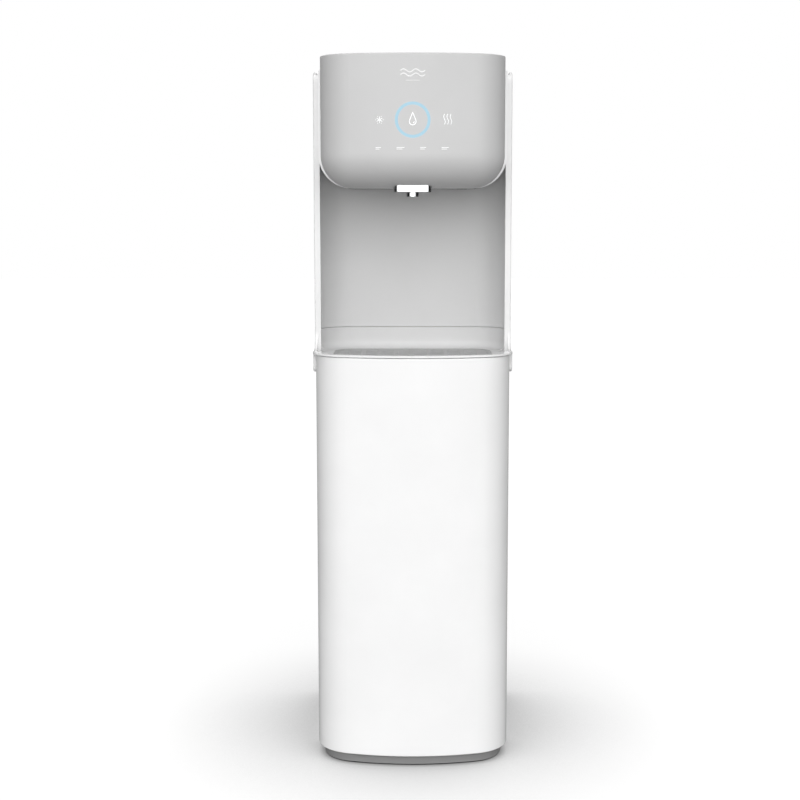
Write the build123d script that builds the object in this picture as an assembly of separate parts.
from build123d import *
import math
import os

# Free-standing water dispenser: a bowed cabinet with a lift-out drip tray on top, a niche for the cup,
# and an overhanging head with the touch panel and the outlet. The front of the object faces -Y, +Z is up,
# and the origin is on the floor under the middle of the box that holds the object. All sizes are in mm.

# ---- overall sizes
body_width = 300.0        # cabinet and column, across the side panels
body_depth = 372.0        # front of the bow to the back of the rear panel
wall_gap = 18.0           # what the wall spacers keep free behind the rear panel
cabinet_height = 643.0    # floor to the top of the tray rim
niche_height = 250.5      # tray rim to the underside of the head
head_height = 196.5       # underside to top of the head
niche_depth = 203.0       # front of the bow to the back wall of the niche

# ---- clearances and overlaps used all over
past = 1.0                # how far a cutting shape runs past the face that it opens
merge = 0.5               # how far a rib, boss or lug runs into the wall that it stands on
fit = 0.3                 # gap between parts that are assembled by hand
push_gap = 0.05           # round a tube, pin or stem in its bore
through_gap = 0.2         # round a fitting in the hole of a sheet panel

# ---- shape of the bowed fronts
bow_radius = 382.0
cabinet_corner = 65.0
head_corner = 60.0

# ---- plinth, base plate and feet
plinth_inset = 10.0
plinth_top = 15.0
plinth_wall = 3.0
plinth_floor = 5.0
base_plate_thickness = 1.5
foot_radius = 16.0
foot_height = 6.0
foot_gap = 2.0            # how far the feet stand below the plinth
foot_inset = 34.0
foot_chamfer = 1.0

# ---- front cover
cover_wall = 2.5
cover_lift = 0.7          # base plate to the lower edge of the cover
cover_return = 120.0      # how far the cover wraps back along the sides
cover_rib = 7.5
cover_rib_thickness = 2.5
cover_rib_drop = 18.0     # top of the cover to its top rib
cover_low_edge = 2.0
cover_top_edge = 0.8
groove = 1.3              # dark gap between cover and rim

# ---- ball studs that hold the cover, and the frame that they snap into
stud_radius = 3.5
stud_spacing = 186.0
stud_seat = 10.0          # how deep a stud is pressed into its boss
neck_radius_cut = 1.0     # how much thinner a stud is just before its ball
neck_run = 3.0
ball_radius = 4.0
boss_radius = 7.0
boss_gap = 6.0            # end of a boss to the ball
clip_radius = 9.0
clip_clearance = 0.3
clip_lip = 2.5
clip_flange = 1.5
clip_sleeve = 3.0         # how far a clip stands out behind its rail
frame_depth = 62.0        # front of the bow to the clip rails
rail_height = 34.0
rail_thickness = 2.0
rail_margin = 46.0        # rail centre from the ends of the frame
upright_leg = 14.0
upright_thickness = 2.0
frame_side_gap = 16.0     # cabinet side to upright

# ---- sheet panels
sheet = 1.5
panel_gap = 1.5           # seam between cover and side panel
shelf_drop = 43.0         # rim top to the top of the shelf
shelf_thickness = 2.0
shelf_gap = 1.0
tube_hole_gap = 3.0       # round a water tube in the shelf
louvre_length = 108.0
louvre_width = 5.0
louvre_pitch = 26.0
louvre_rise = 30.0        # how far the lower louvres sit above the condenser's middle
low_louvres = 15
high_louvres = 4

# ---- tray rim, surround and niche liner
rim_thickness = 2.6
rim_width = 12.0
rim_leg = 2.5
deck_drop = 6.0           # rim top to deck
deck_thickness = 6.0
deck_gap = 1.0            # deck edge to the inside of the cover
deck_lap = 5.0            # how far the deck runs in under the niche wall
post_radius = 5.0
front_post_depth = 8.0    # behind the front of the frame
rear_post_inset = 6.0
liner_wall = 2.5
liner_corner = 46.0
upstand_height = 34.0
parting_gap = 0.6
cove_radius = 12.0
column_gap = 1.2          # niche back to the front edge of the column's panels

# ---- drip tray and grille
tray_side_gap = 32.0      # side of the body to the basin
tray_length = 144.0
tray_front = 36.0         # front of the bow to the basin
tray_depth = 27.0
tray_corner = 24.0
tray_wall = 2.0
tray_round = 4.0
tray_flange = 6.0
flange_thickness = 3.0
grille_thickness = 1.8
tray_clearance = 0.5
grille_corner_gap = 6.0   # how much rounder the grille's corners are than the tray's
notch_width = 28.0
notch_depth = 10.0
notch_corner = 3.0
slot_length = 20.0
slot_width = 3.4
slot_pitch_x = 26.0
slot_pitch_y = 7.5
slot_margin = 8.0         # solid border in front of the first and behind the last row of slots

# ---- side cheeks
cheek_thickness = 4.5
cheek_front = 127.0       # front of the bow to the upright front edge
cheek_rear = 338.0
cheek_below_rim = 32.0
cheek_below_head_top = 17.5
cheek_sweep = 26.0
cheek_round = 12.0
cheek_foot_round = 7.0
cheek_toe_round = 1.0
cheek_edge = 2.0
cheek_pin = 4.0
lip_thickness = 3.0       # return of a cheek's front edge towards the head
pin_inset = 24.0
pin_margin = 40.0

# ---- head
head_inset = 10.0         # how much narrower than the body, each side
head_cover_depth = 92.0
head_cover_wall = 2.5
head_bottom_round = 50.0
head_edge = 1.5
housing_proud = 4.6       # housing outside the head cover, each side
housing_wall = 2.5
housing_face = 3.0        # thickness of the housing's front flange
housing_collar = 8.0
housing_gap = 0.5         # housing to the column's niche wall
lid_shoulder = 4.0        # thickness of the lid's wide part
lid_below_cheek = 0.5
lid_crown_inset = 2.5     # crown of the lid, inside the head cover's sides
lid_crown_drop = 2.0      # crown below the top of the head cover
lid_wall = 2.5
lid_round = 6.0
arm_thickness = 2.0
arm_front = 12.0          # housing front to the head arms
arm_bottom = 64.0         # head underside to the lower edge of the head arms
tongue_thickness = 2.5
tongue_width = 60.0
tongue_grip = 6.0         # front of the nozzle collar to the front of the tongue
hole_height = 24.0        # height that the collar's hole is cut to

# ---- light ring and boards in the head
ring_radius = 26.2
ring_width = 4.2
ring_depth = 1.2
ring_drop = 97.0          # head top to ring centre
guide_wall_cut = 0.6      # how much narrower the light guide is than the ring
board_thickness = 1.6
display_width = 190.0
display_height = 96.0
display_depth = 30.0      # front of the bow to the display board
board_post = 4.0
board_post_inset = 8.0
chip_size = 16.0
chip_height = 2.0
chip_offset = 52.0
plug_width = 22.0
plug_height = 10.0
plug_depth = 7.0
plug_offset = 61.0
plug_drop = 25.0

# ---- nozzle
nozzle_depth = 58.0       # front of the bow to the nozzle axis
collar_width = 56.0
collar_length = 56.0
collar_corner = 8.0
collar_below_head = 6.0
collar_height = 15.0
nozzle_edge = 0.8
spout_radius = 9.6
spout_length = 7.0
spout_stem = 6.5
spout_rise = 38.0
spout_seat = 8.0

# ---- water circuit
tube_radius = 3.175
tube_bend = 16.0
port_radius = 2.0         # narrow part of a port, past the tube's stop
port_boss_radius = 7.0
port_length = 8.0
stub_radius = 5.0
stub_seat = 10.0          # how deep a tube goes into a tank's stub
stub_proud = 2.0          # stub above the foam
riser_gap = 22.0          # cabinet side to the tubes that rise beside the frame
riser_set_back = 26.0
upper_run_rise = 22.0
hot_run_rise = 8.0        # hot tube above the cold one in the head
hot_tube_rise = 34.0
valve_width = 116.0
valve_depth = 34.0
valve_height = 28.0
valve_set_back = 46.0
valve_rise = 42.0
valve_neck_radius = 12.0
valve_neck_height = 6.0
valve_coil_radius = 14.0
valve_coil_height = 30.0
valve_coil_pitch = 38.0
valve_coil_plug = 8.0
valve_side_run = 34.0
inlet_slope = 40.0        # how far the inlet tube rises on its way to the side
side_run = 60.0           # cartridges to the inlet tube behind them
supply_bend = 14.0
cold_bend = 10.0
hot_bend = 9.0
outlet_bend = 12.0
cold_tube_drop = 26.0     # how far behind the valve block the cold tube comes down

# ---- filters
cartridge_radius = 33.0
cartridge_length = 290.0
cartridge_space = 8.0     # between two cartridges
cartridge_depth = 126.0
cartridge_gap = 1.0
cartridge_dome = 20.0
cartridge_shoulder = 6.0
neck_radius = 19.0
neck_length = 18.0
neck_room = 3.0
grip_radius = 3.0
grip_length = 60.0
grip_rise = 24.0
grip_count = 3
manifold_height = 34.0
manifold_length = 54.0
manifold_gap = 4.0        # manifold to shelf
manifold_lug = 18.0
manifold_lug_length = 24.0
manifold_lug_inset = 3.0

# ---- tanks
tank_wall = 1.5
tank_offset = 69.0        # middle of the body to the boiler and to the compressor
hot_tank_radius = 52.0
hot_tank_height = 165.0
hot_tank_drop = 62.0      # shelf to the top of the boiler
hot_tank_round = 12.0
heater_rise = 34.0
heater_height = 46.0
heater_thickness = 3.0
heater_lug_width = 12.0
heater_lug_height = 30.0
heater_lug_reach = 12.0
strap_drop = 44.0         # top of the boiler to the lower edge of the straps
strap_height = 16.0
strap_thickness = 2.0
hanger_width = 16.0
cold_tank_round = 10.0
cold_tank_headroom = 12.0
stub_share = 0.45         # where the stubs stand, as a share of the cold tank's radius
foam_wall = 20.0
foam_gap = 2.0
foam_room = 1.0
jacket_height = 252.0
jacket_side_gap = 44.0
coil_radius = 3.0
coil_gap = 0.5
coil_turns = 7
coil_pitch = 18.0
coil_rise = 30.0

# ---- cooling circuit
compressor_radius = 62.0
compressor_height = 152.0
compressor_lift = 16.0
compressor_wall = 3.0
compressor_low_round = 12.0
compressor_top_round = 34.0
compressor_gap = 10.0     # condenser to compressor
motor_radius = 40.0
motor_height = 90.0
seam_proud = 2.5
seam_height = 5.0
seam_rise = 83.6
mount_plate_width = 144.0
mount_plate_length = 88.0
mount_plate_thickness = 6.0
mount_pitch_x = 124.0
mount_pitch_y = 68.0
grommet_radius = 9.0
grommet_pin = 4.9
grommet_hole = 5.0
grommet_pin_length = 9.0
terminal_width = 40.0
terminal_height = 42.0
terminal_rise = 34.0
terminal_reach = 14.0
condenser_tube = 2.4
condenser_pitch = 28.0
condenser_passes = 16
condenser_bottom = 84.0
condenser_side_gap = 24.0
condenser_wire = 0.8
condenser_wires = 20
condenser_overrun = 8.0   # how far the wires run past the first and the last pass
condenser_gap = 13.0      # rear panel to condenser tube
standoff_wall = 1.0
pipe_radius = 3.0
pipe_room = 1.0
pipe_bore = 2.0
pipe_run_rise = 12.0
pipe_side_gap = 14.0
discharge_offset = 24.0
discharge_rise = 24.0
discharge_bend = 10.0
suction_offset = 20.0
suction_bend = 14.0
suction_drop = 30.0
suction_slope = 40.0
suction_start = 24.0

# ---- electrical
control_side_gap = 44.0
control_depth = 44.0
control_wall = 2.0
control_rise = 16.0
control_drop = 14.0
control_post = 3.5
control_post_inset = 14.0
control_board_gap = 10.0  # control box's back wall to the board
control_board_inset = 8.0
transformer_width = 36.0
transformer_depth = 26.0
transformer_inset = 20.0
relay_pitch = 26.0
relay_inset = 36.0
relay_width = 18.0
relay_depth = 16.0
relay_rise = 12.0
capacitor_radius = 6.0
capacitor_depth = 18.0
relay_count = 3

# ---- rear fittings
spacer_radius = 13.0
spacer_inset = 24.0
spacer_low = 90.0
spacer_high = 40.0
spacer_round = 3.0
screw_head = 4.0
screw_height = 2.4
screw_cross = 2.6
screw_slot = 1.0
screw_slot_depth = 1.0
screw_inset = 8.0
screw_margin = 20.0
screws_per_side = 6
fitting_rise = 42.0       # base plate to the socket and the water inlet
inlet_inset = 56.0
inlet_radius = 3.25
inlet_depth = 16.0
inlet_body_radius = 8.0
inlet_body_depth = 14.0
inlet_hexagon = 11.0
inlet_flange = 6.0
inlet_nose_radius = 7.5
inlet_nose_length = 6.0
collet_radius = 5.6
collet_length = 2.5
valve_body_width = 26.0
valve_body_depth = 34.0
valve_body_height = 22.0
solenoid_radius = 11.0
solenoid_height = 26.0
valve_port_radius = 6.5
valve_port_height = 8.0
drain_rise = 26.0
cold_drain_inset = 84.0
hot_drain_inset = 114.0
drain_radius = 7.0
drain_bore = 4.0
drain_inside = 12.0
drain_outside = 8.0
drain_flange_radius = 10.0
drain_flange = 2.0
cap_radius = 9.5
cap_length = 11.0
cap_depth = 6.2
cap_flutes = 12
flute_radius = 1.4
flute_circle = 10.2
socket_inset = 44.0
socket_width = 24.8
socket_height = 16.6
socket_depth = 15.0
socket_wall = 2.0
socket_floor = 4.0
socket_flange_width = 50.0
socket_flange_height = 24.0
socket_flange = 3.0
socket_pin_spread = 7.0
socket_pin_step = 2.0
socket_pin_width = 2.0
socket_pin_height = 4.0
socket_pin_drop = 6.0     # how far the pins stay inside the mouth
switch_rise = 36.0        # foam block to the switches
hot_switch_inset = 66.0
cold_switch_inset = 36.0
rocker_width = 13.0
rocker_height = 22.0
rocker_gap = 0.4
rocker_end_gap = 1.2
rocker_tilt = 8.0
rocker_half_end = 2.4
rocker_front = 3.6
rocker_back = 4.2
rocker_axis_depth = 4.0
rocker_pivot = 1.5
pivot_clearance = 0.08
bezel_wall = 2.0
bezel_lip = 4.0
bezel_thickness = 2.0
bezel_depth = 16.0
bezel_floor = 3.0

# ---- positions that follow from the sizes above
half_width = body_width / 2
front = -(body_depth + wall_gap) / 2
back = front + body_depth
rear = back + wall_gap
rim_top = cabinet_height
cover_top = rim_top - rim_thickness - groove
deck_top = rim_top - deck_drop
deck_bottom = deck_top - deck_thickness
parting = deck_top + upstand_height
shelf_top = rim_top - shelf_drop
shelf_bottom = shelf_top - shelf_thickness
base_top = plinth_top + base_plate_thickness
cover_bottom = base_top + cover_lift
cover_end = front + cover_return
side_front = cover_end + panel_gap
head_bottom = rim_top + niche_height
head_top = head_bottom + head_height
cheek_top = head_top - cheek_below_head_top
cheek_bottom = rim_top - cheek_below_rim
cheek_inner = half_width + fit
cheek_outer = cheek_inner + cheek_thickness
head_half = half_width - head_inset
housing_half = head_half + housing_proud
housing_front = front + head_cover_depth
niche_back = front + niche_depth
liner_half = half_width - fit - liner_wall
liner_front = niche_back - liner_corner
column_front = niche_back + liner_wall + fit + column_gap
panel_inner = half_width - sheet
rear_inner = back - sheet
lid_step = cheek_top - lid_below_cheek
lid_bottom = lid_step - lid_shoulder
lid_top = head_top - lid_crown_drop
lid_crown = head_half - lid_crown_inset
frame_half = half_width - frame_side_gap
frame_front = front + frame_depth
boss_end = frame_front - ball_radius - boss_gap
stud_x = stud_spacing / 2
stud_low = base_top + rail_margin
stud_high = shelf_bottom - rail_margin
nozzle_y = front + nozzle_depth
collar_bottom = head_bottom - collar_below_head
spout_bottom = collar_bottom - spout_length
ring_z = head_top - ring_drop
tray_width = body_width - 2 * tray_side_gap
tray_middle = front + tray_front + tray_length / 2
tray_back = tray_middle + tray_length / 2
jacket_front = column_front + foam_gap
jacket_back = rear_inner - foam_gap
tank_y = (jacket_front + jacket_back) / 2
jacket_radius = min((jacket_back - jacket_front) / 2, half_width - jacket_side_gap)
jacket_top = shelf_top + jacket_height
tank_radius = jacket_radius - foam_wall - 2 * coil_radius - foam_room
coil_line = tank_radius + coil_radius + coil_gap
cold_tank_bottom = shelf_top + foam_wall
cold_tank_top = jacket_top - foam_wall - cold_tank_headroom
cold_seat = jacket_top + stub_proud - stub_seat
stub_x = stub_share * tank_radius
condenser_y = rear_inner - condenser_gap
condenser_half = panel_inner - condenser_side_gap
machine_y = condenser_y - condenser_tube - compressor_radius - compressor_gap
compressor_bottom = base_top + compressor_lift
compressor_top = compressor_bottom + compressor_height
manifold_top = shelf_bottom - manifold_gap
manifold_bottom = manifold_top - manifold_height
manifold_port = manifold_bottom + manifold_height / 2
cartridge_pitch = 2 * cartridge_radius + cartridge_space
cartridge_y = front + cartridge_depth
manifold_back = cartridge_y + manifold_length / 2
cartridge_top = manifold_bottom - cartridge_gap
hot_tank_top = shelf_bottom - hot_tank_drop
hot_tank_bottom = hot_tank_top - hot_tank_height
riser_x = half_width - riser_gap
riser_y = jacket_front + riser_set_back
upper_run = head_bottom + upper_run_rise
valve_y = housing_front + valve_set_back
valve_back = valve_y + valve_depth
valve_bottom = head_bottom + valve_rise
valve_top = valve_bottom + valve_height
valve_port_z = valve_bottom + valve_height / 2
fitting_z = base_top + fitting_rise
drain_z = base_top + drain_rise
switch_z = jacket_top + switch_rise
socket_x = half_width - socket_inset
socket_body = socket_width + 2 * socket_wall
inlet_x = -(half_width - inlet_inset)
inlet_valve_y = back - inlet_body_depth - valve_body_depth / 2
rocker_axis_y = back - rocker_axis_depth
control_half = half_width - control_side_gap
control_bottom = upper_run + control_rise
control_top = lid_bottom - control_drop
control_back = rear_inner - control_wall
control_board_y = control_back - control_board_gap

# ---- places that repeat
CARTRIDGE_PLACES = (-cartridge_pitch, 0.0, cartridge_pitch)
VALVE_PLACES = (-valve_coil_pitch, 0.0, valve_coil_pitch)
SWITCH_PLACES = (half_width - hot_switch_inset, half_width - cold_switch_inset)
DRAIN_PLACES = (-(half_width - cold_drain_inset), -(half_width - hot_drain_inset))
STUB_PLACES = (-stub_x, stub_x)
SIDES = (-1, 1)

TURNED = {"X": Rot(0, 90, 0), "Y": Rot(-90, 0, 0), "Z": Rot(0, 0, 0)}
ON_END = (Align.CENTER, Align.CENTER, Align.MIN)


# ---- shapes used by several parts
def block(x0, x1, y0, y1, z0, z1):
    """Box between two opposite corners."""
    return Pos((x0 + x1) / 2, (y0 + y1) / 2, (z0 + z1) / 2) * Box(x1 - x0, y1 - y0, z1 - z0)


def bar(x, y, z, radius, length, axis="Z"):
    """Round bar that starts at a point and runs along an axis."""
    return Pos(x, y, z) * TURNED[axis] * Cylinder(radius, length, align=ON_END)


def prism(face, bottom, top):
    """Upright solid with a given plan, between two heights."""
    return extrude(Pos(0, 0, bottom) * face, amount=top - bottom, dir=(0, 0, 1))


def bow_drop(x, radius):
    """How far a bowed front has fallen back at a distance x from the middle."""
    return radius - math.sqrt(radius**2 - x**2)


def bowed_plan(half, inset, back_y, corner):
    """Plan of a bowed front with round corners and straight sides, moved inwards by inset."""
    x = half - inset
    edge_y = front + inset + bow_drop(x, bow_radius - inset)
    arc = ThreePointArc((-x, edge_y), (0, front + inset), (x, edge_y))
    sides = Polyline((x, edge_y), (x, back_y), (-x, back_y), (-x, edge_y))
    face = make_face([arc, sides])
    return fillet(face.vertices().sort_by(Axis.Y)[:2], corner - inset)


def corner_end(half, corner):
    """Depth behind the front where a bowed plan's round corner meets its straight side."""
    return bow_radius - math.sqrt((bow_radius - corner) ** 2 - (half - corner) ** 2)


def liner_plan(offset, front_y):
    """Plan of the niche: straight sides and a back wall with round corners, grown by offset."""
    x = liner_half + offset
    y = niche_back + offset
    face = make_face(Polyline((-x, front_y), (x, front_y), (x, y), (-x, y), close=True))
    return fillet(face.vertices().sort_by(Axis.Y)[-2:], liner_corner + offset)


def drum(x, y, bottom, radius, height, low_round, top_round):
    """Upright round body with rounded ends."""
    solid = bar(x, y, bottom, radius, height)
    solid = fillet(solid.edges().group_by(Axis.Z)[0], low_round)
    return fillet(solid.edges().group_by(Axis.Z)[-1], top_round)


def vessel(x, y, bottom, radius, height, wall, round_end):
    """Closed round tank with a thin wall."""
    inner_round = round_end - wall
    inside = drum(x, y, bottom + wall, radius - wall, height - 2 * wall, inner_round, inner_round)
    return drum(x, y, bottom, radius, height, round_end, round_end) - inside


def round_plan(width, length, corner, middle_y):
    """Rounded rectangle in plan, centred across the body."""
    return Pos(0, middle_y) * RectangleRounded(width, length, corner)


def forward_edges(solid, top):
    """Edges of the top or bottom face, without the straight one at the back."""
    edges = solid.edges().group_by(Axis.Z)[-1 if top else 0]
    last = max(edge.center().Y for edge in edges)
    return [edge for edge in edges if edge.center().Y < last - 0.5]


def hose(*points, radius=tube_radius, bend=tube_bend):
    """Round tube along straight runs joined by tangent arcs."""
    path = FilletPolyline(*points, radius=bend)
    return sweep(Plane(origin=path @ 0, z_dir=path % 0) * Circle(radius), path=path)


def joined(solids):
    """Several solids as one group that stay separate solids."""
    return Compound(children=list(solids))


# ---- base
def plinth():
    """Recessed grey skirt that carries the machine, with pockets for the feet."""
    plinth_back = back - plinth_inset
    outline = bowed_plan(half_width, plinth_inset, plinth_back, cabinet_corner)
    inside = bowed_plan(half_width, plinth_inset + plinth_wall, plinth_back - plinth_wall, cabinet_corner)
    solid = prism(outline - inside, foot_gap, plinth_top)
    solid += prism(outline, foot_height, foot_height + plinth_floor)
    for x, y in foot_places():
        solid += bar(x, y, foot_gap, foot_radius + plinth_wall, plinth_top - foot_gap)
        solid -= bar(x, y, 0, foot_radius, foot_height)
    return solid


def foot_places():
    """Centres of the four feet."""
    x = half_width - foot_inset
    rows = (front + corner_end(half_width, cabinet_corner), back - foot_inset)
    return [(side * x, y) for y in rows for side in SIDES]


def rubber_feet():
    """Four round rubber feet pressed into the plinth."""
    feet = []
    for x, y in foot_places():
        foot = bar(x, y, 0, foot_radius, foot_height)
        feet.append(chamfer(foot.edges().group_by(Axis.Z)[0], foot_chamfer))
    return joined(feet)


def base_plate():
    """Steel plate on the plinth that the cooling unit and the uprights stand on."""
    plan = bowed_plan(half_width, plinth_inset + plinth_wall, back - plinth_inset, cabinet_corner)
    return prism(plan, plinth_top, base_top)


# ---- front cover and what holds it
def cover_band(inner, outer, bottom, top):
    """Band that follows the cover, between two insets and two heights."""
    plan = bowed_plan(half_width, inner, cover_end, cabinet_corner)
    plan -= bowed_plan(half_width, outer, cover_end + past, cabinet_corner)
    return prism(plan, bottom, top)


def front_cover():
    """White front that wraps round both corners, with ribs, and bosses for the ball studs."""
    outer = prism(bowed_plan(half_width, 0, cover_end, cabinet_corner), cover_bottom, cover_top)
    outer = fillet(forward_edges(outer, top=False), cover_low_edge)
    outer = fillet(forward_edges(outer, top=True), cover_top_edge)
    inside = bowed_plan(half_width, cover_wall, cover_end + past, cabinet_corner)
    cover = outer - prism(inside, cover_bottom - past, cover_top + past)
    middle = (cover_bottom + cover_top) / 2
    for rib_top in (cover_bottom + cover_rib_thickness, middle, cover_top - cover_rib_drop):
        rib_bottom = rib_top - cover_rib_thickness
        cover += cover_band(cover_wall - merge, cover_wall + cover_rib, rib_bottom, rib_top)
    for x, z in stud_places():
        cover += bar(x, front, z, boss_radius, boss_end - front, "Y") & outer
        cover -= bar(x, boss_end - stud_seat, z, stud_radius, stud_seat + past, "Y")
    return cover


def stud_places():
    """Where the four studs stand, seen from the front."""
    return [(side * stud_x, z) for z in (stud_low, stud_high) for side in SIDES]


def cover_ball_studs():
    """Four metal studs with ball ends, pressed into the cover's bosses."""
    start = boss_end - stud_seat
    neck_start = frame_front - neck_run
    studs = []
    for x, z in stud_places():
        ball = Pos(x, frame_front + rail_thickness / 2, z) * Sphere(ball_radius)
        shank = bar(x, start, z, stud_radius, neck_start - start, "Y")
        neck = bar(x, neck_start - merge, z, stud_radius - neck_radius_cut, neck_run + merge, "Y")
        studs.append(shank + neck + ball)
    return joined(studs)


def cover_clips():
    """Four plastic bushes in the rails that the ball studs snap into."""
    sleeve_length = rail_thickness + clip_sleeve
    start = frame_front - clip_flange
    clips = []
    for x, z in stud_places():
        clip = bar(x, start, z, clip_radius + clip_lip, clip_flange, "Y")
        clip += bar(x, frame_front, z, clip_radius, sleeve_length, "Y")
        hole_length = clip_flange + sleeve_length + 2 * past
        clips.append(clip - bar(x, start - past, z, ball_radius + clip_clearance, hole_length, "Y"))
    return joined(clips)


def clip_rails():
    """Two steel cross bars between the uprights, with holes for the clips."""
    half = rail_height / 2
    rails = []
    for z in (stud_low, stud_high):
        rail = block(-frame_half, frame_half, frame_front, frame_front + rail_thickness, z - half, z + half)
        for side in SIDES:
            rail -= bar(side * stud_x, frame_front - past, z, clip_radius, rail_thickness + 2 * past, "Y")
        rails.append(rail)
    return joined(rails)


def uprights():
    """Two steel angles from the base plate to the shelf, behind the clip rails."""
    y = frame_front + rail_thickness
    inner = frame_half - upright_leg
    right = block(inner, frame_half, y, y + upright_thickness, base_top, shelf_bottom)
    right += block(frame_half - upright_thickness, frame_half, y, y + upright_leg, base_top, shelf_bottom)
    return joined([mirror(right, Plane.YZ), right])


# ---- sheet metal
def side_panel(side):
    """White steel side: the full depth below the tray, and only the column above it."""
    step = deck_bottom - deck_gap
    outline = Polyline((side_front, cover_bottom), (back, cover_bottom), (back, lid_bottom),
                       (column_front, lid_bottom), (column_front, step), (side_front, step), close=True)
    plate = extrude(Plane.YZ * make_face(outline), amount=sheet, dir=(1, 0, 0))
    for y, z in pin_places():
        plate -= bar(-past, y, z, cheek_pin + push_gap, sheet + 2 * past, "X")
    return Pos(panel_inner if side > 0 else -half_width, 0, 0) * plate


def pin_places():
    """Depths and heights of the pins that hold a cheek on its side panel."""
    depths = (column_front + pin_inset, front + cheek_rear - pin_inset)
    heights = (rim_top + pin_margin, cheek_top - pin_margin)
    return [(y, z) for y in depths for z in heights]


def shelf():
    """Steel shelf under the drip tray, which also carries the cold tank."""
    wide = panel_inner - shelf_gap
    plate = block(-wide, wide, side_front, rear_inner - shelf_gap, shelf_bottom, shelf_top)
    plate += block(-frame_half, frame_half, frame_front, side_front, shelf_bottom, shelf_top)
    start = shelf_bottom - past
    deep = shelf_thickness + 2 * past
    for side in SIDES:
        plate -= bar(side * riser_x, riser_y, start, tube_radius + tube_hole_gap, deep)
    return plate - bar(coil_line, tank_y, start, pipe_radius + pipe_room, deep)


def louvres(count, middle_z):
    """One column of slots, around a given height."""
    slot = SlotOverall(louvre_length, louvre_width)
    return [Pos(0, middle_z) * row * slot for row in GridLocations(0, louvre_pitch, 1, count)]


def panel_hole(x, z, width, height):
    """Square hole through the rear panel."""
    return block(x - width / 2, x + width / 2, rear_inner - past, back + past,
                 z - height / 2, z + height / 2)


def rear_panel():
    """Steel back with louvres for the condenser and holes for the fittings."""
    x = panel_inner - fit
    plate = block(-x, x, rear_inner, back, cover_bottom, lid_bottom)
    low_middle = (shelf_bottom + condenser_bottom) / 2 + louvre_rise
    slots = Sketch() + louvres(low_louvres, low_middle) + louvres(high_louvres, (jacket_top + lid_bottom) / 2)
    inside = Plane(origin=(0, rear_inner - past, 0), x_dir=(1, 0, 0), z_dir=(0, -1, 0))
    plate -= extrude(inside * slots, amount=-(sheet + 2 * past))
    for cut in rear_cutouts():
        plate -= cut
    return plate


def rear_cutouts():
    """Holes in the rear panel for the socket, the switches, the inlet and the drains."""
    start = rear_inner - past
    deep = sheet + 2 * past
    cuts = [panel_hole(socket_x, fitting_z, socket_body, socket_height + 2 * socket_wall)]
    for x in SWITCH_PLACES:
        cuts.append(panel_hole(x, switch_z, rocker_width + 2 * bezel_wall, rocker_height + 2 * bezel_wall))
    cuts.append(bar(inlet_x, start, fitting_z, inlet_body_radius + through_gap, deep, "Y"))
    for x in DRAIN_PLACES:
        cuts.append(bar(x, start, drain_z, drain_radius + through_gap, deep, "Y"))
    return cuts


def wall_spacers():
    """Four bumpers that keep air behind the rear panel."""
    x = panel_inner - spacer_inset
    bumpers = []
    for z in (base_top + spacer_low, lid_bottom - spacer_high):
        for side in SIDES:
            bumper = bar(side * x, back, z, spacer_radius, wall_gap, "Y")
            bumpers.append(fillet(bumper.edges().group_by(Axis.Y)[-1], spacer_round))
    return joined(bumpers)


def screw(x, z):
    """Pan-head screw in the rear panel, with a cross slot."""
    head = bar(x, back, z, screw_head, screw_height, "Y")
    head = fillet(head.edges().group_by(Axis.Y)[-1], screw_height / 2)
    top = back + screw_height
    for half_x, half_z in ((screw_cross, screw_slot / 2), (screw_slot / 2, screw_cross)):
        head -= block(x - half_x, x + half_x, top - screw_slot_depth, top + past, z - half_z, z + half_z)
    return head


def rear_screws():
    """Screws along both edges of the rear panel."""
    x = panel_inner - screw_inset
    lowest = cover_bottom + screw_margin
    step = (lid_bottom - screw_margin - lowest) / (screws_per_side - 1)
    return joined(screw(side * x, lowest + n * step) for side in SIDES for n in range(screws_per_side))


# ---- cheeks, rim, surround and niche
def toe_front():
    """Front of the cheeks' feet, where the rim's round corners end."""
    return front + corner_end(cheek_outer, cabinet_corner) + fit


def cheek(side):
    """White side wing: rises beside the niche and sweeps forward into a foot at the tray rim."""
    toe = toe_front()
    edge = front + cheek_front
    behind = front + cheek_rear
    corners = [(toe, cheek_bottom, cheek_foot_round), (toe, rim_top, cheek_toe_round),
               (edge, rim_top, cheek_sweep), (edge, cheek_top, cheek_round),
               (behind, cheek_top, cheek_round), (behind, cheek_bottom, cheek_foot_round)]
    face = make_face(Polyline(*[(y, z) for y, z, _ in corners], close=True))
    for y, z, radius in corners:
        face = fillet(face.vertices().sort_by_distance((y, z, 0))[0], radius)
    plate = extrude(Plane.YZ * face, amount=cheek_thickness, dir=(1, 0, 0))
    plate = Pos(cheek_inner, 0, 0) * fillet(plate.edges().group_by(Axis.X)[-1], cheek_edge)
    lip_start = housing_half + 2 * fit
    lip = extrude(Plane.YZ * face, amount=cheek_inner + merge - lip_start, dir=(1, 0, 0))
    lip = Pos(lip_start, 0, 0) * lip
    plate += lip & block(0, cheek_outer, edge, edge + lip_thickness, deck_top + fit, cheek_top)
    for y, z in pin_places():
        plate += bar(panel_inner, y, z, cheek_pin, cheek_inner - panel_inner + merge, "X")
    return plate if side > 0 else mirror(plate, Plane.YZ)


def rim_band(inner, outer, bottom, top):
    """Band that follows the rim and ends where the cheeks' feet begin."""
    end = front + corner_end(cheek_outer, cabinet_corner)
    run_out = end + rim_width
    plan = bowed_plan(cheek_outer, inner, run_out, cabinet_corner)
    plan -= bowed_plan(cheek_outer, outer, run_out + past, cabinet_corner)
    return prism(plan, bottom, top) & block(-cheek_outer, cheek_outer, front, end, bottom, top)


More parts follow.
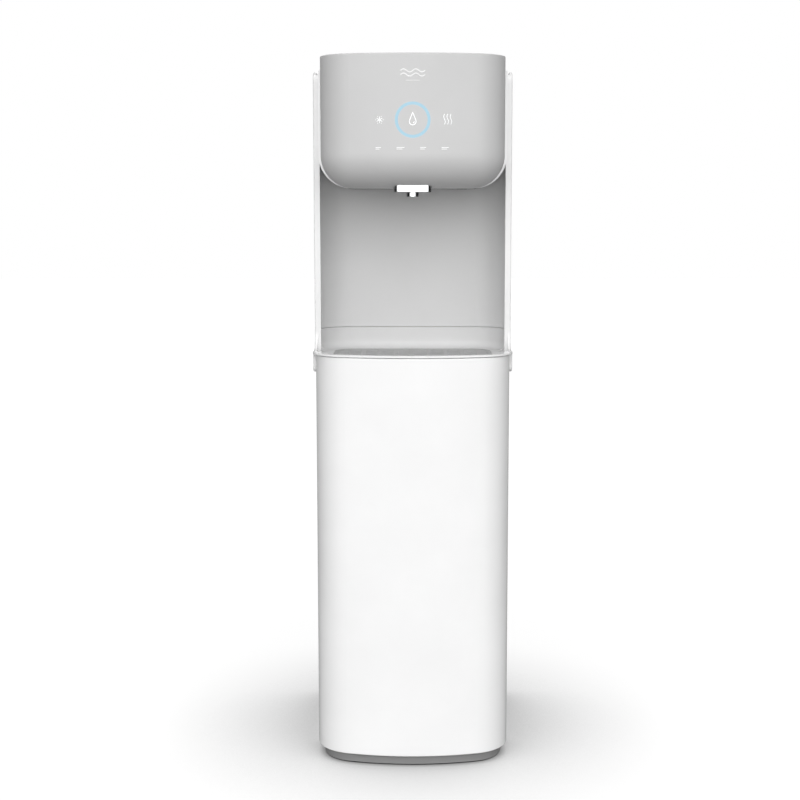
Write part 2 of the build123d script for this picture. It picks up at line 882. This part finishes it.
def tray_rim():
    """White band round the front of the tray, on a leg that stands on the deck."""
    under = rim_top - rim_thickness
    return rim_band(0, rim_width, under, rim_top) + rim_band(rim_width - rim_leg, rim_width, deck_top, under)


def liner_wall_between(bottom, top):
    """Wall of the niche with its two round corners, between two heights."""
    ring = liner_plan(liner_wall, liner_front) - liner_plan(0, liner_front - past)
    return prism(ring, bottom, top)


def tray_opening(grow, bottom, top):
    """Upright block with the drip tray's outline, grown by a margin."""
    plan = round_plan(tray_width + 2 * grow, tray_length + 2 * grow, tray_corner + grow, tray_middle)
    return prism(plan, bottom, top)


def tray_surround():
    """Grey deck round the drip tray, with the lower part of the niche wall coved into it."""
    deck = bowed_plan(half_width, cover_wall + deck_gap, liner_front + deck_lap, cabinet_corner)
    niche = prism(liner_plan(0, liner_front - liner_corner), deck_top, parting + past)
    floor_edges = niche.edges().group_by(Axis.Z)[0].sort_by(Axis.Y)[1:]
    niche = fillet(floor_edges, cove_radius)
    solid = prism(deck, deck_bottom, deck_top)
    solid += prism(liner_plan(liner_wall, liner_front), deck_bottom, parting) - niche
    solid -= tray_opening(tray_clearance, deck_bottom - past, deck_top + past)
    solid -= tray_opening(tray_flange + tray_clearance, deck_top - flange_thickness, deck_top + past)
    x = tray_width / 2 + tray_clearance + post_radius + past
    for side in SIDES:
        for y in (frame_front + front_post_depth, tray_back - rear_post_inset):
            solid += bar(side * x, y, shelf_top, post_radius, deck_bottom - shelf_top)
    return solid


def niche_back_panel():
    """Grey back wall of the niche; beside the head it runs on up to the lid."""
    wall = liner_wall_between(parting + parting_gap, lid_bottom)
    return wall - housing_block(fit, liner_front - past, column_front + past)


def drip_tray():
    """Lift-out basin with a flange that lies in the deck's rebate."""
    bottom = deck_top - tray_depth
    basin = tray_opening(0, bottom, deck_top)
    basin = fillet(basin.edges().group_by(Axis.Z)[0], tray_round)
    basin += tray_opening(tray_flange, deck_top - flange_thickness, deck_top)
    hollow = tray_opening(-tray_wall, bottom + tray_wall, deck_top + past)
    hollow = fillet(hollow.edges().group_by(Axis.Z)[0], tray_round - past)
    return basin - hollow - tray_opening(0, deck_top - grille_thickness, deck_top + past)


def drip_grille():
    """Slotted plate that lies in the drip tray, with a notch to lift it by."""
    width = tray_width - 2 * tray_clearance
    length = tray_length - 2 * tray_clearance
    plan = RectangleRounded(width, length, tray_corner + grille_corner_gap)
    columns = int((width - slot_length) / slot_pitch_x)
    rows = int((length - 2 * slot_margin) / slot_pitch_y)
    slot = SlotOverall(slot_length, slot_width)
    plan -= [place * slot for place in GridLocations(slot_pitch_x, slot_pitch_y, columns, rows)]
    plan -= Pos(0, -length / 2) * RectangleRounded(notch_width, 2 * notch_depth, notch_corner)
    return prism(Pos(0, tray_middle) * plan, deck_top - grille_thickness, deck_top)


# ---- head
def head_block(inset, back_y):
    """Solid shape of the head cover, moved inwards by inset."""
    plan = bowed_plan(head_half, inset, back_y, head_corner)
    solid = prism(plan, head_bottom + inset, head_top - inset)
    return fillet(forward_edges(solid, top=False), head_bottom_round - inset)


def head_front_cover():
    """Grey front of the head, rounded under, with a groove for the light ring and a hole for the nozzle."""
    outer = fillet(forward_edges(head_block(0, housing_front), top=True), head_edge)
    shell = outer - head_block(head_cover_wall, housing_front + past)
    post_x = display_width / 2 - board_post_inset
    post_z = display_height / 2 - board_post_inset
    for side_x in SIDES:
        for side_z in SIDES:
            post = bar(side_x * post_x, front, ring_z + side_z * post_z, board_post, display_depth, "Y")
            shell += post & outer
    shell -= collar_block(fit, head_bottom - past, head_bottom + hole_height)
    return shell - ring_solid(0)


def ring_solid(shrink):
    """Light ring let into the bowed face; shrink leaves a gap round it."""
    reach = bow_drop(ring_radius, bow_radius) + ring_depth + 2 * past
    tube = bar(0, front - past, ring_z, ring_radius - shrink, reach, "Y")
    tube -= bar(0, front - 2 * past, ring_z, ring_radius - ring_width + shrink, reach + 2 * past, "Y")
    face = bowed_plan(head_half, 0, housing_front, head_corner)
    face -= bowed_plan(head_half, ring_depth, housing_front + past, head_corner)
    return tube & prism(face, head_bottom, head_top)


def light_ring():
    """Blue diffuser ring, flush with the head cover."""
    return ring_solid(push_gap)


def housing_plan(grow):
    """Cross-section of the head housing, open upwards: x across and z up."""
    x = housing_half + grow
    z = head_bottom + fit - grow
    face = make_face(Polyline((-x, z), (x, z), (x, lid_bottom), (-x, lid_bottom), close=True))
    return fillet(face.vertices().group_by(Axis.Y)[0], head_bottom_round + grow)


def housing_block(grow, y0, y1):
    """Head housing's section as a solid between two depths."""
    section = Plane(origin=(0, y0, 0), x_dir=(1, 0, 0), z_dir=(0, -1, 0)) * housing_plan(grow)
    return extrude(section, amount=y1 - y0, dir=(0, 1, 0))


def head_housing():
    """White channel behind the head cover, with a collar that the cover slips over."""
    end = column_front - housing_gap
    behind = end + past
    lap = head_cover_wall + fit
    shell = housing_block(0, housing_front, end)
    shell -= housing_block(-housing_wall, housing_front + housing_face, behind)
    shell -= housing_block(-housing_proud - lap - housing_wall, housing_front - past, behind)
    collar = head_block(lap, housing_front + past) - head_block(lap + housing_wall, housing_front + 2 * past)
    collar &= block(-half_width, half_width, housing_front - housing_collar, housing_front + merge,
                    head_bottom, lid_bottom)
    collar -= collar_block(2 * past, head_bottom - past, head_bottom + hole_height + collar_below_head)
    return shell + collar + nozzle_tongue()


def nozzle_tongue():
    """Arm of the housing that reaches forward over the nozzle collar and holds it."""
    x = tongue_width / 2
    z = collar_bottom + collar_height
    root = housing_front + housing_face
    tongue = block(-x, x, nozzle_y - collar_length / 2 + tongue_grip, root, z, z + tongue_thickness)
    tongue += block(-x, x, housing_front, root, head_bottom + fit, z)
    return tongue - bar(0, nozzle_y, z - past, spout_stem + push_gap, tongue_thickness + 2 * past)


def head_arms():
    """Two steel plates that carry the head from the rear panel."""
    x = housing_half - housing_wall
    right = block(x - arm_thickness, x, housing_front + arm_front, rear_inner,
                  head_bottom + arm_bottom, lid_bottom)
    return joined([mirror(right, Plane.YZ), right])


def lid_plan():
    """Plan of the lid: the head's width in front, the column's width behind."""
    head_part = Pos(0, (housing_front + back) / 2) * Rectangle(2 * housing_half, back - housing_front)
    column_part = Pos(0, (column_front + back) / 2) * Rectangle(2 * half_width, back - column_front)
    return head_part + column_part


def top_lid():
    """White lid: a flat shoulder on the column and a crown behind the head cover."""
    crown_back = back - lid_round
    crown = block(-lid_crown, lid_crown, housing_front, crown_back, lid_bottom, lid_top)
    crown = fillet(crown.edges().group_by(Axis.Z)[-1].sort_by(Axis.Y)[1:], lid_round)
    inner = lid_crown - lid_wall
    inside = block(-inner, inner, housing_front - past, crown_back - lid_wall,
                   lid_bottom - past, lid_top - lid_wall)
    return prism(lid_plan(), lid_bottom, lid_step) + crown - inside


def display_board():
    """Circuit board behind the touch panel, with the touch pads' controller and a plug on it."""
    y = front + display_depth
    face = y + board_thickness
    x = display_width / 2
    z = display_height / 2
    chip = chip_size / 2
    plug_x = plug_width / 2
    plug_z = plug_height / 2
    low = ring_z - plug_drop
    board = block(-x, x, y, face, ring_z - z, ring_z + z)
    board += block(-chip_offset - chip, -chip_offset + chip, face, face + chip_height,
                   ring_z - chip, ring_z + chip)
    board += block(plug_offset - plug_x, plug_offset + plug_x, face, face + plug_depth,
                   low - plug_z, low + plug_z)
    return board


def light_guide():
    """Clear sleeve that carries light from the display board to the ring."""
    start = front + head_cover_wall + bow_drop(ring_radius, bow_radius) + fit
    length = front + display_depth - start
    guide = bar(0, start, ring_z, ring_radius - guide_wall_cut, length, "Y")
    inner = ring_radius - ring_width + guide_wall_cut
    return guide - bar(0, start - past, ring_z, inner, length + 2 * past, "Y")


# ---- nozzle and outlet valves
def collar_block(grow, bottom, top):
    """Upright block with the nozzle collar's outline, grown by a margin."""
    plan = round_plan(collar_width + 2 * grow, collar_length + 2 * grow, collar_corner + grow, nozzle_y)
    return prism(plan, bottom, top)


def nozzle_collar():
    """Chrome block with round corners that closes the underside round the spout."""
    solid = collar_block(0, collar_bottom, collar_bottom + collar_height)
    solid = fillet(solid.edges().group_by(Axis.Z)[0], nozzle_edge)
    return solid - bar(0, nozzle_y, collar_bottom - past, spout_stem + push_gap, collar_height + 2 * past)


def nozzle_spout():
    """Chrome spout on a stem that runs up through the collar to the outlet tube."""
    tip = bar(0, nozzle_y, spout_bottom, spout_radius, spout_length)
    tip = fillet(tip.edges().group_by(Axis.Z)[0], nozzle_edge)
    stem = bar(0, nozzle_y, collar_bottom, spout_stem, spout_rise)
    length = spout_length + spout_rise
    bore = bar(0, nozzle_y, spout_bottom - past, tube_radius + push_gap, length + 2 * past)
    return tip + stem - bore


def outlet_valve_body():
    """Plastic block that joins the hot, cold and room-temperature outlets."""
    half = valve_width / 2
    body = block(-half, half, valve_y, valve_back, valve_bottom, valve_top)
    for x in VALVE_PLACES:
        body += bar(x, valve_y + valve_depth / 2, valve_top, valve_neck_radius, valve_neck_height)
    start = valve_y - port_length
    body += bar(0, start, valve_port_z, port_boss_radius, port_length, "Y")
    return body - bar(0, start - past, valve_port_z, tube_radius + push_gap, port_length + past, "Y")


def outlet_valve_coils():
    """Three solenoid coils on the valve block, each with its plug."""
    base = valve_top + valve_neck_height
    y = valve_y + valve_depth / 2
    plug = valve_coil_plug / 2
    middle = base + valve_coil_height * 3 / 4
    coils = []
    for x in VALVE_PLACES:
        coil = bar(x, y, base, valve_coil_radius, valve_coil_height)
        coil += block(x - plug, x + plug, y, y + valve_coil_radius + valve_coil_plug,
                      middle - plug, middle + plug)
        coils.append(coil)
    return joined(coils)


# ---- filters
def filter_manifold():
    """Head block that the three cartridges twist into, hung under the shelf."""
    reach = cartridge_pitch + cartridge_radius
    manifold_front = cartridge_y - manifold_length / 2
    body = block(-reach, reach, manifold_front, manifold_back, manifold_bottom, manifold_top)
    for x in CARTRIDGE_PLACES:
        body -= bar(x, cartridge_y, manifold_bottom - past, neck_radius + fit, neck_length + neck_room)
    lug = manifold_lug / 2
    lug_length = manifold_lug_length / 2
    for side in SIDES:
        x = side * (reach - manifold_lug_inset - lug)
        body += block(x - lug, x + lug, cartridge_y - lug_length, cartridge_y + lug_length,
                      manifold_top, shelf_bottom)
        port = side * cartridge_pitch
        body += bar(port, manifold_back, manifold_port, port_boss_radius, port_length, "Y")
        body -= bar(port, manifold_back, manifold_port, tube_radius + push_gap, port_length + past, "Y")
    return body


def cartridge(index):
    """Sealed filter cartridge with a neck, grip ribs and a domed end."""
    x = CARTRIDGE_PLACES[index]
    bottom = cartridge_top - cartridge_length
    can = drum(x, cartridge_y, bottom, cartridge_radius, cartridge_length, cartridge_dome, cartridge_shoulder)
    neck = bar(x, cartridge_y, cartridge_top - past, neck_radius, neck_length + past)
    circle = cartridge_radius - merge
    for turn in range(grip_count):
        angle = math.tau * (turn / grip_count + 1 / 12)
        grip_x = x + circle * math.cos(angle)
        grip_y = cartridge_y + circle * math.sin(angle)
        can += bar(grip_x, grip_y, bottom + grip_rise, grip_radius, grip_length)
    return can + neck


# ---- tanks
def hot_tank():
    """Stainless boiler for the hot water, with its outlet stub."""
    tank = vessel(-tank_offset, machine_y, hot_tank_bottom, hot_tank_radius, hot_tank_height,
                  tank_wall, hot_tank_round)
    tank += bar(-tank_offset, machine_y, hot_tank_top - tank_wall, stub_radius, tank_wall + stub_seat)
    tank -= bar(-tank_offset, machine_y, hot_tank_top, tube_radius + push_gap, stub_seat + past)
    port_start = hot_tank_top - tank_wall - past
    return tank - bar(-tank_offset, machine_y, port_start, port_radius, tank_wall + 2 * past)


def hot_tank_heater():
    """Band heater clamped round the boiler."""
    bottom = hot_tank_bottom + heater_rise
    band = bar(-tank_offset, machine_y, bottom, hot_tank_radius + heater_thickness, heater_height)
    band -= bar(-tank_offset, machine_y, bottom - past, hot_tank_radius, heater_height + 2 * past)
    half = heater_lug_width / 2
    edge = machine_y - hot_tank_radius
    low = bottom + (heater_height - heater_lug_height) / 2
    return band + block(-tank_offset - half, -tank_offset + half, edge - heater_lug_reach,
                        edge - heater_thickness + merge, low, low + heater_lug_height)


def hot_tank_bracket():
    """Steel strap round the boiler with two hangers up to the shelf."""
    bottom = hot_tank_top - strap_drop
    parts = bar(-tank_offset, machine_y, bottom, hot_tank_radius + strap_thickness, strap_height)
    half = hanger_width / 2
    middle = hot_tank_radius + strap_thickness / 2
    for side in SIDES:
        y = machine_y + side * middle
        parts += block(-tank_offset - half, -tank_offset + half, y - strap_thickness / 2,
                       y + strap_thickness / 2, bottom, shelf_bottom)
    return parts - bar(-tank_offset, machine_y, bottom - past, hot_tank_radius, hot_tank_height)


def cold_tank():
    """Stainless tank for the cold water, with two stubs on top."""
    height = cold_tank_top - cold_tank_bottom
    stub_start = cold_tank_top - tank_wall
    stub_end = cold_seat + stub_seat
    tank = vessel(0, tank_y, cold_tank_bottom, tank_radius, height, tank_wall, cold_tank_round)
    for x in STUB_PLACES:
        tank += bar(x, tank_y, stub_start, stub_radius, stub_end - stub_start)
        tank -= bar(x, tank_y, cold_seat, tube_radius + push_gap, stub_seat + past)
        tank -= bar(x, tank_y, stub_start - past, port_radius, cold_seat - stub_start + 2 * past)
    return tank


def evaporator_coil():
    """Copper coil wound round the cold tank."""
    path = Helix(pitch=coil_pitch, height=coil_turns * coil_pitch, radius=coil_line)
    section = Plane(origin=path @ 0, z_dir=path % 0) * Circle(coil_radius)
    return Pos(0, tank_y, cold_tank_bottom + coil_rise) * sweep(section, path=path, is_frenet=True)


def foam_jacket():
    """Two half-round foam blocks that close round the cold tank."""
    foam = bar(0, tank_y, shelf_top, jacket_radius, jacket_height)
    foam -= bar(0, tank_y, cold_tank_bottom, jacket_radius - foam_wall, jacket_height - 2 * foam_wall)
    top_start = jacket_top - foam_wall - past
    for x in STUB_PLACES:
        foam -= bar(x, tank_y, top_start, stub_radius + through_gap, foam_wall + 2 * past)
    foam -= bar(coil_line, tank_y, shelf_top - past, pipe_radius + push_gap, foam_wall + 2 * past)
    half = block(-jacket_radius, jacket_radius, tank_y - jacket_radius, tank_y, shelf_top, jacket_top)
    return joined([foam & half, foam - half])


# ---- cooling unit
def compressor():
    """Hermetic compressor: a welded dome round its motor, on a pressed foot plate."""
    x, y, bottom = tank_offset, machine_y, compressor_bottom
    shell = drum(x, y, bottom, compressor_radius, compressor_height,
                 compressor_low_round, compressor_top_round)
    shell += bar(x, y, bottom + seam_rise, compressor_radius + seam_proud, seam_height)
    half_x, half_y, half_z = mount_plate_width / 2, mount_plate_length / 2, mount_plate_thickness / 2
    foot = block(x - half_x, x + half_x, y - half_y, y + half_y, bottom - half_z, bottom + half_z)
    for hole_x, hole_y in grommet_places():
        foot -= bar(hole_x, hole_y, bottom - half_z - past, grommet_hole, mount_plate_thickness + 2 * past)
    edge = y - compressor_radius
    low = bottom + terminal_rise
    shell += foot + block(x - terminal_width / 2, x + terminal_width / 2, edge - terminal_reach,
                          edge + terminal_reach, low, low + terminal_height)
    inner_bottom = bottom + compressor_wall
    inner_height = compressor_height - 2 * compressor_wall
    shell -= drum(x, y, inner_bottom, compressor_radius - compressor_wall, inner_height,
                  compressor_low_round - compressor_wall, compressor_top_round - compressor_wall)
    shell += bar(x, y, inner_bottom - merge, motor_radius, motor_height)
    port_bottom = compressor_top - compressor_wall - past
    for port_x in (x - discharge_offset, x + suction_offset):
        shell -= bar(port_x, y, port_bottom, pipe_bore, compressor_wall + 2 * past)
    return shell


def grommet_places():
    """Centres of the compressor's rubber mounts."""
    half_x, half_y = mount_pitch_x / 2, mount_pitch_y / 2
    return [(tank_offset + sx * half_x, machine_y + sy * half_y) for sx in SIDES for sy in SIDES]


def compressor_grommets():
    """Rubber mounts under the compressor's foot plate."""
    collar = compressor_lift - mount_plate_thickness / 2
    mounts = []
    for x, y in grommet_places():
        pin = bar(x, y, base_top + collar, grommet_pin, grommet_pin_length)
        mounts.append(bar(x, y, base_top, grommet_radius, collar) + pin)
    return joined(mounts)


def condenser():
    """Serpentine tube on four standoffs, with upright wires spot-welded along it."""
    x = condenser_half
    points = []
    for n in range(condenser_passes):
        z = condenser_bottom + n * condenser_pitch
        ends = (-x, x) if n % 2 == 0 else (x, -x)
        points += [(end, condenser_y, z) for end in ends]
    tube = hose(*points, radius=condenser_tube, bend=condenser_pitch / 2 - through_gap)
    inner = x - condenser_pitch
    for n in (1, condenser_passes - 2):
        z = condenser_bottom + n * condenser_pitch
        for side in SIDES:
            tube += bar(side * inner, condenser_y, z, condenser_tube + standoff_wall, condenser_gap, "Y")
    y = condenser_y - condenser_tube - condenser_wire - push_gap
    step = 2 * inner / (condenser_wires - 1)
    low = condenser_bottom - condenser_overrun
    length = (condenser_passes - 1) * condenser_pitch + 2 * condenser_overrun
    wires = [bar(n * step - inner, y, low, condenser_wire, length) for n in range(condenser_wires)]
    return joined([tube] + wires)


def refrigerant_lines():
    """Copper pipes from the compressor to the condenser and back from the coil."""
    low = base_top + pipe_run_rise
    high = compressor_top + discharge_rise
    outlet_x = tank_offset - discharge_offset
    feed_x = tank_offset - compressor_radius - pipe_side_gap
    end = condenser_bottom - condenser_tube - pipe_room
    discharge = hose((outlet_x, machine_y, compressor_top), (outlet_x, machine_y, high),
                     (feed_x, machine_y, high), (feed_x, machine_y, low), (-condenser_half, machine_y, low),
                     (-condenser_half, condenser_y, low), (-condenser_half, condenser_y, end),
                     radius=pipe_radius, bend=discharge_bend)
    bend_top = shelf_bottom - suction_drop
    inlet = tank_offset + suction_offset
    suction = hose((coil_line, tank_y, cold_tank_bottom + suction_start), (coil_line, tank_y, bend_top),
                   (inlet, machine_y, bend_top - suction_slope), (inlet, machine_y, compressor_top),
                   radius=pipe_radius, bend=suction_bend)
    return joined([discharge, suction])


# ---- electrical
def control_box():
    """Open-fronted plastic box for the control board, at the top of the column."""
    open_face = rear_inner - control_depth
    inner = control_half - control_wall
    low, high = control_bottom + control_wall, control_top - control_wall
    box = block(-control_half, control_half, open_face, rear_inner, control_bottom, control_top)
    box -= block(-inner, inner, open_face - past, control_back, low, high)
    post_x = control_half - control_post_inset
    for side in SIDES:
        for z in (control_bottom + control_post_inset, control_top - control_post_inset):
            box += bar(side * post_x, control_board_y, z, control_post, control_board_gap + merge, "Y")
    return box


def control_board():
    """Main board with its transformer, relays and capacitors."""
    face = control_board_y - board_thickness
    half = control_half - control_board_inset
    board = block(-half, half, face, control_board_y, control_bottom + control_board_inset,
                  control_top - control_board_inset)
    middle = (control_bottom + control_top) / 2
    core = transformer_width / 2
    core_x = transformer_inset + core - control_half
    board += block(core_x - core, core_x + core, face - transformer_depth, face, middle - core, middle + core)
    relay = relay_width / 2
    for n in range(relay_count):
        x = control_half - relay_inset - n * relay_pitch
        high = middle + relay_rise
        board += block(x - relay, x + relay, face - relay_depth, face, high - relay, high + relay)
        low = middle - relay_rise
        board += bar(x, face - capacitor_depth, low, capacitor_radius, capacitor_depth, "Y")
    return board


def mains_socket():
    """Mains inlet socket with a screwed flange and three flat pins."""
    half_x, half_z = socket_flange_width / 2, socket_flange_height / 2
    floor = back - socket_depth
    x, z = socket_x, fitting_z
    mouth_x, mouth_z = socket_width / 2, socket_height / 2
    solid = block(x - half_x, x + half_x, back, back + socket_flange, z - half_z, z + half_z)
    solid += block(x - mouth_x - socket_wall, x + mouth_x + socket_wall, floor - socket_floor, back,
                   z - mouth_z - socket_wall, z + mouth_z + socket_wall)
    solid -= block(x - mouth_x, x + mouth_x, floor, back + socket_flange + past, z - mouth_z, z + mouth_z)
    pin_x, pin_z = socket_pin_width / 2, socket_pin_height / 2
    for side in (-1, 0, 1):
        middle_x = x + side * socket_pin_spread
        middle_z = z + socket_pin_step * (1 if side == 0 else -1)
        solid += block(middle_x - pin_x, middle_x + pin_x, floor - merge, back - socket_pin_drop,
                       middle_z - pin_z, middle_z + pin_z)
    return solid


def switch_bezel(x):
    """Frame of a rocker switch, with a pivot pin for the rocker."""
    half_x, half_z = rocker_width / 2, rocker_height / 2
    z = switch_z

    def box(grow, y0, y1):
        return block(x - half_x - grow, x + half_x + grow, y0, y1, z - half_z - grow, z + half_z + grow)

    frame = box(bezel_lip, back, back + bezel_thickness) + box(bezel_wall, back - bezel_depth, back)
    frame -= box(0, back - bezel_depth + bezel_floor, back + bezel_thickness + past)
    return frame + bar(x - half_x - merge, rocker_axis_y, z, rocker_pivot, rocker_width + 2 * merge, "X")


def switch_bezels():
    """Frames of both switches."""
    return joined(switch_bezel(x) for x in SWITCH_PLACES)


def rocker(index):
    """Rocker cap, pressed in at the bottom when the switch is on."""
    x = SWITCH_PLACES[index]
    reach = rocker_height / 2 - rocker_end_gap
    lean = reach * math.sin(math.radians(rocker_tilt))
    outline = Polyline((-rocker_half_end - lean, -reach), (rocker_half_end - lean, -reach), (rocker_front, 0),
                       (rocker_half_end + lean, reach), (-rocker_half_end + lean, reach), (-rocker_back, 0),
                       close=True)
    side = Plane(origin=(x - rocker_width / 2 + rocker_gap, rocker_axis_y, switch_z), x_dir=(0, 1, 0),
                 z_dir=(1, 0, 0))
    cap = extrude(side * make_face(outline), amount=rocker_width - 2 * rocker_gap, dir=(1, 0, 0))
    bore = rocker_pivot + pivot_clearance
    return cap - bar(x - rocker_width, rocker_axis_y, switch_z, bore, 2 * rocker_width, "X")


# ---- plumbing
def water_inlet_fitting():
    """Push-fit bulkhead for the mains water tube."""
    x, z = inlet_x, fitting_z
    outside = Plane(origin=(x, back, z), x_dir=(1, 0, 0), z_dir=(0, 1, 0))
    nose_start = back + inlet_flange
    collet_start = nose_start + inlet_nose_length
    mouth = collet_start + collet_length
    solid = bar(x, back - inlet_body_depth, z, inlet_body_radius, inlet_body_depth, "Y")
    solid += extrude(outside * RegularPolygon(inlet_hexagon, 6), amount=inlet_flange)
    solid += bar(x, nose_start, z, inlet_nose_radius, inlet_nose_length, "Y")
    solid += bar(x, collet_start, z, collet_radius, collet_length, "Y")
    solid -= bar(x, mouth - inlet_depth, z, inlet_radius, inlet_depth + past, "Y")
    port_length = inlet_body_depth + inlet_flange
    return solid - bar(x, back - inlet_body_depth - past, z, port_radius, port_length, "Y")


def inlet_valve():
    """Solenoid valve that shuts the mains water off."""
    half_x, half_y, half_z = valve_body_width / 2, valve_body_depth / 2, valve_body_height / 2
    x, y, z = inlet_x, inlet_valve_y, fitting_z
    coil_bottom = z + half_z
    port_bottom = coil_bottom + solenoid_height
    body = block(x - half_x, x + half_x, y - half_y, y + half_y, z - half_z, z + half_z)
    body += bar(x, y, coil_bottom, solenoid_radius, solenoid_height)
    body += bar(x, y, port_bottom, valve_port_radius, valve_port_height)
    return body - bar(x, y, port_bottom, tube_radius + push_gap, valve_port_height + past)


def drain_spigots():
    """Threaded spigots that empty the two tanks."""
    spigots = []
    for x in DRAIN_PLACES:
        spigot = bar(x, back - drain_inside, drain_z, drain_radius, drain_inside + drain_outside, "Y")
        spigot += bar(x, back, drain_z, drain_flange_radius, drain_flange, "Y")
        bore = bar(x, back - drain_outside, drain_z, drain_bore, 2 * drain_outside + past, "Y")
        spigots.append(spigot - bore)
    return joined(spigots)


def drain_caps():
    """Fluted screw caps on the drain spigots."""
    start = back + drain_flange
    caps = []
    for x in DRAIN_PLACES:
        cap = bar(x, start, drain_z, cap_radius, cap_length, "Y")
        for n in range(cap_flutes):
            angle = math.tau * n / cap_flutes
            flute_x = x + flute_circle * math.cos(angle)
            flute_z = drain_z + flute_circle * math.sin(angle)
            cap -= bar(flute_x, start - past, flute_z, flute_radius, cap_length + 2 * past, "Y")
        caps.append(cap - bar(x, start - past, drain_z, drain_radius, cap_depth + past, "Y"))
    return joined(caps)


def inlet_tube():
    """Tube from the inlet valve up to the filter manifold."""
    low = fitting_z + valve_body_height / 2 + solenoid_height
    middle = low + hot_tube_rise
    high = middle + inlet_slope
    y = cartridge_y + side_run
    return hose((inlet_x, inlet_valve_y, low), (inlet_x, inlet_valve_y, middle), (-riser_x, y, high),
                (-riser_x, y, manifold_port), (-cartridge_pitch, y, manifold_port),
                (-cartridge_pitch, manifold_back, manifold_port))


def supply_tube():
    """Tube from the manifold up to the cold tank's inlet."""
    return hose((cartridge_pitch, manifold_back, manifold_port), (cartridge_pitch, riser_y, manifold_port),
                (riser_x, riser_y, manifold_port), (riser_x, riser_y, upper_run),
                (riser_x, tank_y, upper_run), (stub_x, tank_y, upper_run),
                (stub_x, tank_y, cold_seat), bend=supply_bend)


def cold_tube():
    """Tube from the cold tank to the outlet valves."""
    y = valve_back + cold_tube_drop
    return hose((-stub_x, tank_y, cold_seat), (-stub_x, tank_y, upper_run), (-stub_x, y, upper_run),
                (-valve_coil_pitch, y, valve_port_z), (-valve_coil_pitch, valve_back, valve_port_z),
                bend=cold_bend)


def hot_tube():
    """Tube from the boiler up the side of the column to the outlet valves."""
    low = hot_tank_top + hot_tube_rise
    high = upper_run + hot_run_rise
    y = valve_y + valve_depth / 2
    side = -valve_width / 2
    return hose((-tank_offset, machine_y, hot_tank_top), (-tank_offset, machine_y, low),
                (-riser_x, riser_y, low), (-riser_x, riser_y, high), (-riser_x, y, high),
                (side - valve_side_run, y, valve_port_z), (side, y, valve_port_z),
                bend=hot_bend)


def outlet_tube():
    """Tube from the valve block forward and down to the spout."""
    end = collar_bottom + spout_rise - spout_seat
    return hose((0, valve_y, valve_port_z), (0, nozzle_y, valve_port_z), (0, nozzle_y, end), bend=outlet_bend)


def head_tubes():
    """The two tubes that meet the outlet valves inside the head."""
    return joined([cold_tube(), outlet_tube()])


PARTS = {
    "plinth": plinth,
    "rubber_feet": rubber_feet,
    "base_plate": base_plate,
    "front_cover": front_cover,
    "cover_ball_studs": cover_ball_studs,
    "cover_clips": cover_clips,
    "clip_rails": clip_rails,
    "uprights": uprights,
    "left_side_panel": lambda: side_panel(-1),
    "right_side_panel": lambda: side_panel(1),
    "shelf": shelf,
    "rear_panel": rear_panel,
    "wall_spacers": wall_spacers,
    "rear_screws": rear_screws,
    "left_cheek": lambda: cheek(-1),
    "right_cheek": lambda: cheek(1),
    "tray_rim": tray_rim,
    "tray_surround": tray_surround,
    "niche_back_panel": niche_back_panel,
    "drip_tray": drip_tray,
    "drip_grille": drip_grille,
    "head_front_cover": head_front_cover,
    "head_housing": head_housing,
    "head_arms": head_arms,
    "top_lid": top_lid,
    "light_ring": light_ring,
    "light_guide": light_guide,
    "display_board": display_board,
    "nozzle_collar": nozzle_collar,
    "nozzle_spout": nozzle_spout,
    "outlet_valve_body": outlet_valve_body,
    "outlet_valve_coils": outlet_valve_coils,
    "filter_manifold": filter_manifold,
    "sediment_cartridge": lambda: cartridge(0),
    "carbon_cartridge": lambda: cartridge(1),
    "membrane_cartridge": lambda: cartridge(2),
    "hot_tank": hot_tank,
    "hot_tank_heater": hot_tank_heater,
    "hot_tank_bracket": hot_tank_bracket,
    "cold_tank": cold_tank,
    "evaporator_coil": evaporator_coil,
    "foam_jacket": foam_jacket,
    "compressor": compressor,
    "compressor_grommets": compressor_grommets,
    "condenser": condenser,
    "refrigerant_lines": refrigerant_lines,
    "control_box": control_box,
    "control_board": control_board,
    "mains_socket": mains_socket,
    "switch_bezels": switch_bezels,
    "hot_rocker": lambda: rocker(0),
    "cold_rocker": lambda: rocker(1),
    "water_inlet_fitting": water_inlet_fitting,
    "inlet_valve": inlet_valve,
    "drain_spigots": drain_spigots,
    "drain_caps": drain_caps,
    "inlet_tube": inlet_tube,
    "supply_tube": supply_tube,
    "hot_tube": hot_tube,
    "head_tubes": head_tubes,
}

if __name__ == "__main__":
    os.makedirs("parts", exist_ok=True)
    for node, make in PARTS.items():
        export_step(make(), f"parts/{node}.step")
